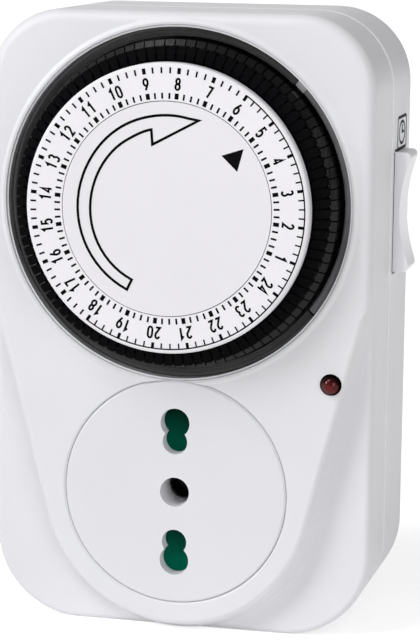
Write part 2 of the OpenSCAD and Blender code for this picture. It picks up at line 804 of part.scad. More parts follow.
module contact_blade() color("#b87333") swap_yz()
    block(nose[0] - lever_w / 2 + 0.1, nose[0] + lever_w / 2 - 0.1, blade_root_z - blade_foot, blade_top_z,
        blade_y, blade_y + blade_t);

module moving_contact() color("silver") swap_yz() translate([nose[0], contact_z, 0])
    rod(contact_r, blade_y + blade_t, blade_y + blade_t + contact_bump);

// the fixed contacts of the timer and of the override, riveted to the load bar
module fixed_contacts() color("silver") swap_yz() {
    translate([nose[0], contact_z, 0]) rod(contact_r, strip_y - contact_bump, strip_y);
    translate([override_x - blade_t - 2 * contact_bump - override_gap, override_z, rocker_mid_y]) along_x()
        linear_extrude(contact_bump) circle(override_contact_r);
}

module rocker() color("white") swap_yz() {
    half = rocker_h / 2;
    dip = rocker_proud - rocker_waist;
    reach = half - 1.1;
    sweep_r = (reach * reach + dip * dip) / (2 * dip);
    difference() {
        intersection() {
            translate([0, 0, rocker_y]) linear_extrude(rocker_w) difference() {
                translate([0, rocker_z]) union() {
                    round_rect(side_x - 3.2, side_x + rocker_proud, -half, half, rocker_edge_r);
                    translate([rocker_in_x, -half + 1.6]) square([3, 2 * half - 3.2]);
                    translate([rocker_pivot_x, 0]) circle(1.9);
                }
                translate([side_x + rocker_waist + sweep_r, rocker_z]) circle(sweep_r);
            }
            translate([0, rocker_z - half - 1, 0]) swap_yz() linear_extrude(rocker_h + 2)
                round_rect(rocker_in_x - 2, side_x + rocker_proud, rocker_y, rocker_end_y, rocker_edge_r);
        }
        translate([rocker_pivot_x, rocker_z, 0]) rod(rocker_pin_r + run, rocker_y - 1, rocker_end_y + 1);
    }
    block(rocker_in_x - 0.3, rocker_in_x + 0.5, override_top_z - 2.4, override_top_z - 0.8,
        rocker_mid_y - 1.2, rocker_mid_y + 1.2);
}

module rocker_pivot() color("silver") swap_yz() translate([rocker_pivot_x, rocker_z, 0])
    rod(rocker_pin_r, rocker_y - window_front_gap - rocker_lug, rocker_end_y + window_gap + rocker_lug);

module override_blade() color("#b87333") swap_yz() {
    block(override_x - blade_t, override_x, blade_root_z - blade_foot, override_top_z,
        override_y, override_y + override_w);
    translate([override_x - blade_t - contact_bump, override_z, rocker_mid_y]) along_x()
        linear_extrude(contact_bump + 0.1) circle(override_contact_r);
}

// ---- lamp ----

module lamp_lens() color("#5a1018") swap_yz() at(lamp) {
    back = recess_y + wall;
    translate([0, 0, front_y - lamp_dome]) rotate_extrude() intersection() {
        translate([0, lamp_r]) circle(lamp_r);
        square([lamp_r, lamp_dome + 1]);
    }
    difference() {
        rod(lamp_r, front_y, back + 0.8);
        rod(lamp_r - 0.6, back - 3, back + 2);
    }
    tube(lamp_r + 0.7, lamp_r - 0.6, back, back + 0.8);
}

module neon_lamp() color("#ffb08a", 0.8) swap_yz() at(lamp) {
    back = recess_y + wall;
    rod(lamp_r - 0.75, back - 2.4, back + 5);
    translate([0, 0, back + 5]) sphere(lamp_r - 0.75);
    for (x = [-0.6, 0.6]) translate([x, 0, 0]) rod(0.25, back + 5, back + 10.7);
}

module lamp_resistor() color("#c8a878") swap_yz() at(lamp) {
    z = recess_y + wall + 12.1;
    translate([-0.6, -4, z]) rotate([-90, 0, 0]) rod(1.1, 0, 6);
    translate([-0.6, 2, z]) rotate([-90, 0, 0]) rod(0.25, -8, 3);
}

// ---- dial ----

// section of the ring round the dial
module bezel_profile() {
    inner = bezel_r - bezel_w;
    foot = dial_r + 0.6;
    intersection() {
        translate([bezel_r, bezel_y + bezel_w]) circle(bezel_w);
        translate([inner, bezel_y]) square(bezel_w);
    }
    translate([inner, bezel_y + bezel_w - eps]) square([bezel_w, bezel_back_y - bezel_y - bezel_w + eps]);
    translate([foot, bezel_back_y - bezel_foot]) square([bezel_r - foot, bezel_foot]);
}

module bezel(from, to) on_dial_axis() rotate(from) rotate_extrude(angle = to - from) bezel_profile();

module retaining_ring() color("#1a1a1a") swap_yz() bezel(window_from + key_angle, 360 + window_to - joint_gap);

module ring_window() color("#a0a0a8", 0.7) swap_yz() bezel(window_to + joint_gap, window_from);

// points round a toothed ring, the fins between the segments' stems
function fin_points(r_low, r_high, width) = [
    for (i = [0 : segment_count - 1]) let (
        a = (i + 0.5) * pitch,
        low = width / r_low * half_degrees,
        high = width / r_high * half_degrees
    ) each polar([[r_low, a - low], [r_high, a - high], [r_high, a + high], [r_low, a + low]])
];

// black wheel: platform, hub, drum with fins, and the gear inside its rim
module dial_wheel() color("#202020") swap_yz() on_dial_axis() {
    difference() {
        union() {
            rod(drum_r - eps, platform_y, platform_y + platform_t);
            sheet(platform_y + 1, drum_end_y) polygon(fin_points(drum_r, fin_r, fin_w));
        }
        rod(drum_in, platform_y + platform_t, drum_end_y + 1);
        rod(hub_r + 2, platform_y - 1, hub_y);
        rod(post_r_dial + run, platform_y - 1, drum_end_y);
    }
    tube(hub_r, post_r_dial + run, hub_y, front_plate_y - post_flange_t - 0.2);
    for (i = [0 : 5]) rotate(60 * i) block(hub_r - 0.4, drum_in + 0.4, -0.5, 0.5, platform_y + platform_t - 0.2,
        platform_y + platform_t + 3);
    difference() {
        rod(drum_in + 0.3, drum_end_y - 3, drum_end_y);
        sheet(drum_end_y - 4, drum_end_y + 1)
            polygon(gear_points(dial_module, dial_teeth, output_angle, 1.1, 0.75, -backlash / 2));
    }
}

// white ring that carries the hours
module number_ring() color("white") swap_yz() on_dial_axis() difference() {
    translate([0, 0, number_y]) rotate_extrude() {
        e = 0.6;
        edge = number_r - ring_gap;
        square([edge - e, number_t]);
        translate([0, e]) square([edge, number_t - e]);
        translate([edge - e, e]) circle(e);
    }
    rod(disc_r + fit + run, number_y - 1, platform_y + 1);
}

// fixed disc inside the numbers
module centre_disc() color("white") swap_yz() on_dial_axis() difference() {
    union() {
        rod(disc_r, number_y, number_y + disc_t);
        rod(3.6, number_y, clip_y - 0.1);
    }
    rod(post_neck_r + 0.02, number_y + 0.8, platform_y + 2);
}

module dial_post() color("silver") swap_yz() on_dial_axis() {
    rod(post_neck_r, number_y + 1, clip_y + 0.6);
    rod(post_r_dial, clip_y + 0.6, front_plate_y - 0.6);
    rod(post_flange_r, front_plate_y - post_flange_t, front_plate_y);
    rod(post_r_dial, front_plate_y - 0.7, front_plate_back);
}

// open washer in the post's groove that holds the dial wheel
module dial_clip() color("silver") swap_yz() on_dial_axis() difference() {
    rod(clip_r, clip_y, clip_y + clip_t);
    rod(post_neck_r + 0.02, clip_y - 1, clip_y + 1);
    block(-1.2, 1.2, -6, 0, clip_y - 1, clip_y + 1);
}

// one quarter-hour segment at angle 0: head outside, narrower stem between the fins
module segment() {
    head = dial_r * PI * 2 / segment_count - segment_gap;
    stem = stem_r * PI * 2 / segment_count - fin_w - segment_gap;
    sheet(segment_y, segment_end_y) polygon([
        [number_r + run + 0.05, -stem / 2],
        [stem_r, -stem / 2],
        [stem_r, -head / 2],
        [dial_r - 0.25, -head / 2],
        [dial_r, -head / 2 + 0.2],
        [dial_r, head / 2 - 0.2],
        [dial_r - 0.25, head / 2],
        [stem_r, head / 2],
        [stem_r, stem / 2],
        [number_r + run + 0.05, stem / 2]
    ]);
}

// the hour's place on the dial, counted the way the numbers run
function hour_angle(hour) = pointer_angle + 15 * (hour - 5);

module segments(hour) color("#181818") swap_yz() on_dial_axis() {
    first = round(hour_angle(hour) / pitch);
    for (i = [0 : segment_count / 8 - 1]) rotate((first + i) * pitch) segment();
}

module segments_0_to_3() segments(0);
module segments_3_to_6() segments(3);
module segments_6_to_9() segments(6);
module segments_9_to_12() segments(9);
module segments_12_to_15() segments(12);
module segments_15_to_18() segments(15);
module segments_18_to_21() segments(18);
module segments_21_to_24() segments(21);

// ---- movement ----

module plate_outline() round_rect(plate_side_in, plate_side_out, plate_low, plate_high, 2.5);

module movement_front_plate() color("gainsboro") swap_yz() {
    difference() {
        union() {
            sheet(front_plate_y, front_plate_back) plate_outline();
            block(plate_side_out - 3, nose[0] - lever_w / 2 - 0.2, lever_pivot_z - 2, lever_pivot_z + 2,
                lever_pivot_y - 1.6, lever_pivot_y + 1.6);
        }
        on_dial_axis() rod(post_r_dial + 0.01, front_plate_y - 1, front_plate_back + 1);
        for (axle = [axle_0, axle_1, axle_2, axle_3, axle_4]) at(axle)
            rod(axle_r + 0.01, front_plate_y - 1, front_plate_back + 1);
        at(axle_5) rod(2.2, front_plate_y - 1, front_plate_back + 1);
        for (corner = plate_corners) at(corner)
            rod(movement_screw_r + screw_room, front_plate_y - 1, front_plate_back + 1);
        translate([plate_side_out - 1.5, lever_pivot_z, lever_pivot_y]) along_x() linear_extrude(20)
            circle(follower_pin_r + 0.01);
    }
}

module movement_rear_plate() color("silver") swap_yz() difference() {
    sheet(rear_plate_y, rear_plate_back) plate_outline();
    at(axle_0) rod(1.2, rear_plate_y - 1, rear_plate_back + 1);
    for (axle = [axle_1, axle_2, axle_3, axle_4, axle_5]) at(axle)
        rod(axle_r + 0.01, rear_plate_y - 1, rear_plate_back + 1);
    for (corner = plate_corners) at(corner)
        rod(movement_screw_r + screw_room, rear_plate_y - 1, rear_plate_back + 1);
}

module movement_spacers() color("gold") swap_yz() for (corner = plate_corners)
    at(corner) tube(spacer_r, 1, front_plate_back, rear_plate_y);

module movement_screws() color("silver") swap_yz() for (corner = plate_corners) at(corner) {
    rod(movement_screw_r, front_plate_y - 0.1, rear_plate_back + 5);
    difference() {
        rod(1.6, front_plate_y - 1, front_plate_y);
        block(-2, 2, -0.2, 0.2, front_plate_y - 2, front_plate_y - 0.6);
    }
}

module gear_axles() color("silver") swap_yz() {
    for (axle = [axle_1, axle_2, axle_3, axle_4]) at(axle)
        rod(axle_r, front_plate_y + 0.1, rear_plate_back - 0.1);
    at(axle_5) rod(axle_r, drum_end_y - 3.4, rear_plate_back - 0.1);
}

// claws round the rotor, from one end of the motor
module claws(z0, z1, turn) for (i = [0 : 4]) rotate(72 * i + turn)
    translate([0, 0, z0]) rotate_extrude(angle = 24) translate([pole_r, 0]) square([0.7, z1 - z0]);

module motor_can() color("silver") swap_yz() at(axle_0) {
    z0 = rear_plate_back;
    z1 = z0 + motor_d;
    difference() {
        rod(motor_r, z0, z1);
        rod(motor_r - motor_wall, z0 + motor_wall, z1 - motor_wall);
        rod(pole_r + 0.3, z0 - 1, z1 - motor_wall);
        rotate(200) translate([motor_r, 0, 0]) block(-3, 3, -3, 3, z1 - 4, z1 + 1);
    }
    claws(z0, z1 - 2.5, 0);
    claws(z0 + 2.5, z1, 36);
}

module motor_bobbin() color("ivory") swap_yz() at(axle_0) {
    z0 = rear_plate_back + motor_wall + fit;
    z1 = rear_plate_back + motor_d - motor_wall - fit;
    difference() {
        union() {
            rod(motor_r - motor_wall - air, z0, z0 + bobbin_wall);
            rod(motor_r - motor_wall - air, z1 - bobbin_wall, z1);
            rod(bobbin_r + bobbin_wall, z0, z1);
        }
        rod(bobbin_r, z0 - 1, z1 + 1);
    }
}

module motor_winding() color("#b5622d") swap_yz() at(axle_0) {
    z0 = rear_plate_back + motor_wall + fit + bobbin_wall;
    z1 = rear_plate_back + motor_d - motor_wall - fit - bobbin_wall;
    tube(motor_r - motor_wall - 1.2, bobbin_r + bobbin_wall, z0, z1);
}

// magnet on its shaft, with the first pinion in front of the plate
module motor_rotor() color("dimgray") swap_yz() at(axle_0) {
    z0 = rear_plate_back + 1.2;
    z1 = rear_plate_back + motor_d - motor_wall - 0.5;
    rod(rotor_r, z0, z1);
    rod(0.9, level_1 + wheel_t + 0.1, z0 + 0.1);
    gear(gear_module, pinion_teeth, 0, level_1 - 0.2, level_1 + wheel_t + 0.2, 0.8, 1.3);
    rod(axle_r, front_plate_y + 0.2, level_1);
}

module gear_1() color("gold") swap_yz() at(axle_1) stage(facing(0), 0, level_1);

module gear_2() color("gold") swap_yz() at(axle_2) stage(facing(0), climb_angle + 180, level_2);

module gear_3() color("gold") swap_yz() at(axle_3) stage(facing(climb_angle + 180), 180, level_3);

module gear_4() color("gold") swap_yz() at(axle_4) stage(facing(180), 180, level_4);

module clutch_wheel() color("gold") swap_yz() at(axle_5) difference() {
    stage_wheel(facing(180), level_5);
    rod(sleeve_r + run, level_5 - 1, level_5 + wheel_t + 1);
}

// three-armed wave washer that presses the clutch wheel to the pinion's flange
module clutch_spring() color("silver") swap_yz() at(axle_5) {
    z0 = level_5 - 0.55;
    difference() {
        union() {
            rod(2.4, z0, z0 + 0.3);
            for (i = [0 : 2]) rotate(120 * i) translate([1.9, -0.8, z0]) rotate([0, -3, 0])
                cube([4.6, 1.6, 0.25]);
        }
        rod(sleeve_r + run, z0 - 1, z0 + 2);
    }
}

// pinion in the dial's gear, on a sleeve through the front plate
module output_pinion() color("ivory") swap_yz() at(axle_5) difference() {
    union() {
        gear(dial_module, output_teeth, output_angle, drum_end_y - 3.2, drum_end_y + 0.2, 0.75, 1.25);
        rod(2, drum_end_y + 0.1, front_plate_back + 0.9);
        rod(3.4, front_plate_back + 0.15, front_plate_back + 0.95);
        rod(sleeve_r, front_plate_back + 0.9, level_5 + wheel_t);
    }
    rod(axle_r + run, drum_end_y - 5, level_5 + 3);
}

front_cover();
rear_housing();
housing_screws();
socket_insert();
safety_shutter();
shutter_spring();
contact_carrier();
live_socket_contact();
neutral_socket_contact();
earth_socket_contact();
plug_base();
live_pin();
neutral_pin();
earth_pin();
live_bar();
load_bar();
neutral_bar();
earth_bar();
contact_blade();
moving_contact();
fixed_contacts();
cam_follower();
follower_pin();
rocker();
rocker_pivot();
override_blade();
lamp_lens();
neon_lamp();
lamp_resistor();
retaining_ring();
ring_window();
dial_wheel();
number_ring();
centre_disc();
dial_post();
dial_clip();
segments_0_to_3();
segments_3_to_6();
segments_6_to_9();
segments_9_to_12();
segments_12_to_15();
segments_15_to_18();
segments_18_to_21();
segments_21_to_24();
movement_front_plate();
movement_rear_plate();
movement_spacers();
movement_screws();
gear_axles();
motor_can();
motor_bobbin();
motor_winding();
motor_rotor();
gear_1();
gear_2();
gear_3();
gear_4();
clutch_wheel();
clutch_spring();
output_pinion();
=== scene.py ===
"""Looks of the plug-in timer switch: camera, studio, moulded plastics, dial print and side sign."""

import json
import math

import bmesh
import bpy
from mathutils import Matrix, Vector


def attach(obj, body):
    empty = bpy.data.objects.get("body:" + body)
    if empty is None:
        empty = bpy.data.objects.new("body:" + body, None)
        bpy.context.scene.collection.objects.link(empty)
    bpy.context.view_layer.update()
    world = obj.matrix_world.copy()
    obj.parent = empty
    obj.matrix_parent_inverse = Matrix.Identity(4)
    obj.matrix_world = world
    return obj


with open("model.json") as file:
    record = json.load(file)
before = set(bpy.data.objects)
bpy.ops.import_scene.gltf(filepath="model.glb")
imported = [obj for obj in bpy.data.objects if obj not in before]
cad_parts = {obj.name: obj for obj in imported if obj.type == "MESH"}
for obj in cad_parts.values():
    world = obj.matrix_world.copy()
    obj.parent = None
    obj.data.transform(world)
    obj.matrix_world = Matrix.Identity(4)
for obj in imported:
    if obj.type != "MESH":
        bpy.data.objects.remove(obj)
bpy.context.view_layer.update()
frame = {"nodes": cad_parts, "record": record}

MM = 0.001

# camera, as the photograph was taken
CAMERA_AT = (115.58, -454.34, 137.22)
AZIMUTH, ELEVATION, ROLL = 14.108, 9.856, 0.635
LENS, SENSOR = 93.756, 24.0

# places on the dial, in millimetres
DIAL_Z = 80.3
DIAL_FACE = -27.7
PRINT_GAP = 0.03

# hours of the dial: the angle in degrees at which an hour stands at rest, and the hours of the night
HOURS = 24
QUARTERS = 4
HOUR_PITCH = 15
POINTER = 39.8
POINTER_HOUR = 5
NIGHT_FROM, NIGHT_TO = 18, 30

# ticks: radii, and widths at a full hour and at the quarters
INNER_TICKS = (19.72, 20.78)
OUTER_TICKS = (24.24, 25.3)
INNER_WIDTHS = (0.72, 0.35)
OUTER_WIDTHS = (0.64, 0.33)
NIGHT_WIDTHS = (0.54, 0.27)
NIGHT_LINE_WIDTH, NIGHT_LINE_END = 0.24, 0.2

# numbers: radius of their middle, height, width, distance from one digit to the next, line
NUMBER_R = 22.43
NUMBER_H = 2.36
NUMBER_W = 1.16
NUMBER_PITCH = 1.4
NUMBER_STROKE = 0.38

# arrow and pointer: arcs and corners as (degrees, radius), corners of the pointer as (x, z)
ARROW_OUTER = ((76, 16.85), (110, 16.75), (160, 16.4), (244.3, 16.4))
ARROW_INNER = ((244.3, 14.35), (160, 14.0), (120, 14.2), (101, 14.45))
ARROW_TIP, ARROW_BARB = (69.8, 17.1), (102.5, 11.8)
ARROW_STROKE = 0.48
POINTER_CORNERS = ((10.1, 10.0), (14.1, 11.3), (13.0, 7.25))

# black segments round the dial: pitch in degrees, gap between two, section of the sloping edge as (radius, y)
SEGMENT_PITCH = 3.75
SEGMENT_GAP = 0.24
RIM_SECTION = ((28.6, -21.85), (29.85, -20.9), (29.85, -14.6), (28.5, -14.6))
GROUP_HOURS = 3

# dark ring round the dial: radius of its foot and outer radius, its ends in degrees, its rounded inner edge
RING_FOOT_R, RING_R = 29.4, 31.95
RING_FROM, RING_TO = 46.9, 322.2
BEAD_R, BEAD_Y, BEAD_HALF = 30.42, -17.35, 0.24

# side of the housing
SIDE_X = 36.0
PARTING_Y = -2.0
ROCKER_FRONT_Y = 2.0
ROCKER_MIDDLE_Z, ROCKER_HALF = 77.7, 11.2
ROCKER_GAP_FROM, ROCKER_GAP_TO, ROCKER_GAP_LEAN = 1.35, 0.75, 0.15

# clock sign on the side as (y, z): middle, halves of its frame and of its face, corner radius, lines
SIGN_MIDDLE = (8.45, 92.1)
SIGN_HALF, SIGN_FACE_HALF = (4.5, 2.95), (3.0, 2.05)
SIGN_CORNER = 0.8
SIGN_STROKE, SIGN_FACE_STROKE = 0.6, 0.55

# lamp
LAMP_X, LAMP_Z, LAMP_R = 29.0, 48.7, 1.9

# heights of the socket openings, from the foot of the lower one to the top of the upper one
SHUTTER_SPAN = (11.0, 42.6)

# grain of the moulded plastic, in millimetres
GRAIN = 0.35

# studio: soft boxes with place, size in metres and power; light of the surroundings and of the floor
LAMPS = (
    ("key_left", (-1.15, -0.9, 0.75), 0.55, 8.7),
    ("key_high", (-0.55, -0.75, 1.35), 0.55, 6.3),
    ("fill", (0.95, -1.1, 0.35), 0.8, 6.2),
)
LAMPS_AIM = (0, 0, 0.06)
AMBIENT = 0.30
MIRRORED_FROM, MIRRORED_TO = (-0.5, 0.2), (1.0, 0.35)
FLOOR_HALF, FLOOR_REACH = 6.0, 1.2
FLOOR_LIFT = (0.55, 0.85)
SHOWN_RAYS = ("Is Camera Ray", "Is Glossy Ray", "Is Transmission Ray")
STRAIGHT_RAYS = ("Is Camera Ray", "Is Transmission Ray")


# ---- camera ----

def make_camera():
    """Camera of the photograph: turned by azimuth, raised by elevation, rolled."""
    az, el, roll = (math.radians(a) for a in (AZIMUTH, ELEVATION, ROLL))
    back = Vector((math.sin(az) * math.cos(el), -math.cos(az) * math.cos(el), math.sin(el)))
    level_right = (-back).cross(Vector((0, 0, 1))).normalized()
    level_up = level_right.cross(-back)
    right = math.cos(roll) * level_right + math.sin(roll) * level_up
    up = -math.sin(roll) * level_right + math.cos(roll) * level_up
    turn = Matrix((right, up, back)).transposed().to_4x4()
    data = bpy.data.cameras.new("photo_camera")
    data.sensor_fit = "VERTICAL"
    data.sensor_height = SENSOR
    data.lens = LENS
    data.clip_start = 0.01
    data.clip_end = 50
    camera = bpy.data.objects.new("photo_camera", data)
    camera.matrix_world = Matrix.Translation(Vector(CAMERA_AT) * MM) @ turn
    bpy.context.scene.collection.objects.link(camera)
    bpy.context.scene.camera = camera


# ---- studio ----

def soft_box(name, at, size, power):
    """Square soft box that faces the object."""
    data = bpy.data.lights.new(name, "AREA")
    data.shape = "RECTANGLE"
    data.size = data.size_y = size
    data.energy = power
    lamp = bpy.data.objects.new(name, data)
    lamp.location = at
    lamp.rotation_euler = (Vector(LAMPS_AIM) - Vector(at)).to_track_quat("-Z", "Y").to_euler()
    bpy.context.scene.collection.objects.link(lamp)


def remap(nodes, links, value, source=(0, 1), target=(0, 1)):
    """Value carried from one range to another and held inside it."""
    node = nodes.new("ShaderNodeMapRange")
    node.inputs["From Min"].default_value, node.inputs["From Max"].default_value = source
    node.inputs["To Min"].default_value, node.inputs["To Max"].default_value = target
    links.new(value, node.inputs["Value"])
    return node.outputs["Result"]


def combine(nodes, links, operation, first, second):
    """Result of a maths node over two values."""
    node = nodes.new("ShaderNodeMath")
    node.operation = operation
    links.new(first, node.inputs[0])
    links.new(second, node.inputs[1])
    return node.outputs[0]


def any_of(nodes, links, path, rays):
    """1 where the light path is one of the rays named, else 0."""
    found = path.outputs[rays[0]]
    for ray in rays[1:]:
        found = combine(nodes, links, "MAXIMUM", found, path.outputs[ray])
    return found


def make_world():
    """White for what looks straight at it, ambient for what it lights, and mirrored dimmer from the right."""
    world = bpy.data.worlds.new("studio")
    bpy.context.scene.world = world
    world.use_nodes = True
    nodes, links = world.node_tree.nodes, world.node_tree.links
    nodes.clear()
    out = nodes.new("ShaderNodeOutputWorld")
    mix = nodes.new("ShaderNodeMixShader")
    soft, shown = nodes.new("ShaderNodeBackground"), nodes.new("ShaderNodeBackground")
    for background in (soft, shown):
        background.inputs["Color"].default_value = (1, 1, 1, 1)
    soft.inputs["Strength"].default_value = AMBIENT
    path = nodes.new("ShaderNodeLightPath")
    place, split = nodes.new("ShaderNodeTexCoord"), nodes.new("ShaderNodeSeparateXYZ")
    links.new(place.outputs["Generated"], split.inputs[0])
    mirrored = remap(nodes, links, split.outputs["X"], MIRRORED_FROM, MIRRORED_TO)
    straight = any_of(nodes, links, path, STRAIGHT_RAYS)
    links.new(combine(nodes, links, "MAXIMUM", mirrored, straight), shown.inputs["Strength"])
    links.new(any_of(nodes, links, path, SHOWN_RAYS), mix.inputs["Fac"])
    links.new(soft.outputs[0], mix.inputs[1])
    links.new(shown.outputs[0], mix.inputs[2])
    links.new(mix.outputs[0], out.inputs["Surface"])


def make_floor():
    """Large pale floor that takes the object's shadow.

    A glow where it is looked at or mirrored brings it to white. The glow grows from under the object to
    where the lamps no longer reach."""
    mesh = bpy.data.meshes.new("floor")
    corners = [(x * FLOOR_HALF, y * FLOOR_HALF, 0) for x, y in ((-1, -1), (1, -1), (1, 1), (-1, 1))]
    mesh.from_pydata(corners, [], [(0, 1, 2, 3)])
    floor = bpy.data.objects.new("floor", mesh)
    bpy.context.scene.collection.objects.link(floor)
    material = bpy.data.materials.new("floor_white")
    material.use_nodes = True
    nodes, links = material.node_tree.nodes, material.node_tree.links
    nodes.clear()
    out = nodes.new("ShaderNodeOutputMaterial")
    add = nodes.new("ShaderNodeAddShader")
    matte, glow = nodes.new("ShaderNodeBsdfDiffuse"), nodes.new("ShaderNodeEmission")
    matte.inputs["Color"].default_value = (0.93, 0.93, 0.93, 1)
    path = nodes.new("ShaderNodeLightPath")
    place, distance = nodes.new("ShaderNodeTexCoord"), nodes.new("ShaderNodeVectorMath")
    distance.operation = "LENGTH"
    links.new(place.outputs["Object"], distance.inputs[0])
    lift = remap(nodes, links, distance.outputs["Value"], (0, FLOOR_REACH), FLOOR_LIFT)
    shown = any_of(nodes, links, path, SHOWN_RAYS)
    links.new(combine(nodes, links, "MULTIPLY", shown, lift), glow.inputs["Strength"])
    links.new(matte.outputs[0], add.inputs[0])
    links.new(glow.outputs[0], add.inputs[1])
    links.new(add.outputs[0], out.inputs["Surface"])
    mesh.materials.append(material)


def make_studio():
    make_world()
    make_floor()
    for lamp in LAMPS:
        soft_box(*lamp)


# ---- materials ----

class Surface:
    """Node helper for one procedural material, its patterns in object space."""

    def __init__(self, name, roughness, **constants):
        self.material = bpy.data.materials.new(name)
        self.material.use_nodes = True
        self.nodes, self.links = self.material.node_tree.nodes, self.material.node_tree.links
        self.shader = self.nodes["Principled BSDF"]
        self.place = self.nodes.new("ShaderNodeTexCoord")
        self.shader.inputs["Roughness"].default_value = roughness
        for socket, value in constants.items():
            self.shader.inputs[socket.replace("_", " ")].default_value = value

    def noise(self, size, detail=3.0, stretch=(1, 1, 1)):
        """Noise whose grains are about size millimetres, stretched along the axes given."""
        mapping = self.nodes.new("ShaderNodeMapping")
        mapping.inputs["Scale"].default_value = [1 / s for s in stretch]
        self.links.new(self.place.outputs["Object"], mapping.inputs["Vector"])
        node = self.nodes.new("ShaderNodeTexNoise")
        node.inputs["Scale"].default_value = 1 / (size * MM)
        node.inputs["Detail"].default_value = detail
        self.links.new(mapping.outputs[0], node.inputs["Vector"])
        return node.outputs["Fac"]

    def off_axis(self, x, z, inner, outer):
        """0 to 1 between two radii, in millimetres, round an axis that runs from front to back."""
        flat = self.nodes.new("ShaderNodeVectorMath")
        flat.operation = "MULTIPLY"
        flat.inputs[1].default_value = (1, 0, 1)
        distance = self.nodes.new("ShaderNodeVectorMath")
        distance.operation = "DISTANCE"
        distance.inputs[1].default_value = (x * MM, 0, z * MM)
        self.links.new(self.place.outputs["Object"], flat.inputs[0])
        self.links.new(flat.outputs["Vector"], distance.inputs[0])
        return self.between(distance.outputs["Value"], inner, outer)

    def along(self, axis, start, end):
        """0 to 1 from one place to another along an axis, in millimetres."""
        split = self.nodes.new("ShaderNodeSeparateXYZ")
        self.links.new(self.place.outputs["Object"], split.inputs[0])
        return self.between(split.outputs[axis], start, end)

    def between(self, value, low, high):
        """0 to 1 from one value to another, both in millimetres."""
        return remap(self.nodes, self.links, value, (low * MM, high * MM))

    def times(self, factor, stops):
        """Multiplies the base colour by a ramp over factor."""
        mix = self.nodes.new("ShaderNodeMix")
        mix.data_type, mix.blend_type = "RGBA", "MULTIPLY"
        mix.inputs["Factor"].default_value = 1.0
        base = self.shader.inputs["Base Color"]
        self.links.new(base.links[0].from_socket, mix.inputs[6])
        self.links.new(self.ramp(factor, stops), mix.inputs[7])
        self.links.new(mix.outputs[2], base)

    def ramp(self, factor, stops):
        """Colour ramp over factor; stops are (position, colour)."""
        node = self.nodes.new("ShaderNodeValToRGB")
        elements = node.color_ramp.elements
        for element, (position, colour) in zip(elements, (stops[0], stops[-1])):
            element.position, element.color = position, (*colour, 1)
        for position, colour in stops[1:-1]:
            elements.new(position).color = (*colour, 1)
        self.links.new(factor, node.inputs["Fac"])
        return node.outputs["Color"]

    def colour(self, factor, stops):
        """Base colour as a ramp over factor."""
        self.links.new(self.ramp(factor, stops), self.shader.inputs["Base Color"])

    def roughness(self, factor, low, high):
        """Roughness from low to high over factor."""
        rough = remap(self.nodes, self.links, factor, target=(low, high))
        self.links.new(rough, self.shader.inputs["Roughness"])

    def bump(self, factor, depth):
        """Bump of the given depth in millimetres."""
        node = self.nodes.new("ShaderNodeBump")
        node.inputs["Distance"].default_value = depth * MM
        node.inputs["Strength"].default_value = 1.0
        self.links.new(factor, node.inputs["Height"])
        self.links.new(node.outputs["Normal"], self.shader.inputs["Normal"])


def grey(level):
    return (level, level, level)


def shade(colour, by):
    """The colour made darker or paler."""
    return tuple(min(1.0, c * by) for c in colour)


def moulded_surface(name, colour, rough, depth=0.006, mottle=0.02, **constants):
    """Moulded plastic: spark-eroded grain, slight flow marks and a colour that drifts a little."""
    s = Surface(name, rough, **constants)
    s.colour(s.noise(28, 2.0), [(0.3, shade(colour, 1 - mottle)), (0.7, shade(colour, 1 + mottle))])
    s.roughness(s.noise(6, 2.0), rough - 0.05, rough + 0.05)
    s.bump(s.noise(GRAIN, 2.0), depth)
    return s


def moulded(name, colour, rough, **looks):
    return moulded_surface(name, colour, rough, **looks).material


def housing_finish(name, colour, rough):
    """Moulded plastic of the two shells: painted shade makes it darker before their parting line, and a
    painted highlight makes it paler behind it.
    """
    s = moulded_surface(name, colour, rough)
    # painted shade just before the parting line, painted highlight on the band behind it
    s.times(s.along("Y", PARTING_Y - 2, PARTING_Y + 4),
            [(0.0, grey(1.0)), (0.24, grey(1.0)), (0.3, grey(0.93)), (0.38, grey(0.9)), (0.42, grey(1.2)),
             (0.52, grey(1.2)), (0.58, grey(1.0))])
    return s.material


def metal(name, colour, rough, stretch=(1, 1, 1), tarnish=0.12):
    """Metal with a drawn or rolled grain and faint tarnish."""
    s = Surface(name, rough, Metallic=1.0)
    s.colour(s.noise(4, 4.0), [(0.35, shade(colour, 1 - tarnish)), (0.65, colour)])
    s.roughness(s.noise(0.5, 3.0, stretch), rough - 0.08, rough + 0.12)
    s.bump(s.noise(0.12, 2.0, stretch), 0.004)
    return s.material


def clear_red(name):
    """Dark red lamp lens: gloss over a deep core, its rim almost black and matt. The near-black rim is
    painted shade, and the paler core, set a little low, is painted light.
    """
    s = Surface(name, 0.05, Specular_Tint=(1, 0.45, 0.45, 1))
    core, mid, rim = (0.12, 0.001, 0.002), (0.06, 0.0005, 0.001), (0.003, 0.0002, 0.0002)
    gloss = s.ramp(s.off_axis(LAMP_X, LAMP_Z, 0, LAMP_R),
                   [(0.0, grey(0.45)), (0.7, grey(0.45)), (0.86, grey(0.0))])
    s.links.new(gloss, s.shader.inputs["Specular IOR Level"])
    # painted light in the paler core, set 0.45 mm low, and painted shade in the near-black rim
    s.colour(s.off_axis(LAMP_X, LAMP_Z - 0.45, 0, LAMP_R * 1.1),
             [(0.0, core), (0.4, mid), (0.66, shade(mid, 0.6)), (0.86, rim), (1.0, rim)])
    s.roughness(s.noise(0.8, 2.0), 0.02, 0.05)
    return s.material


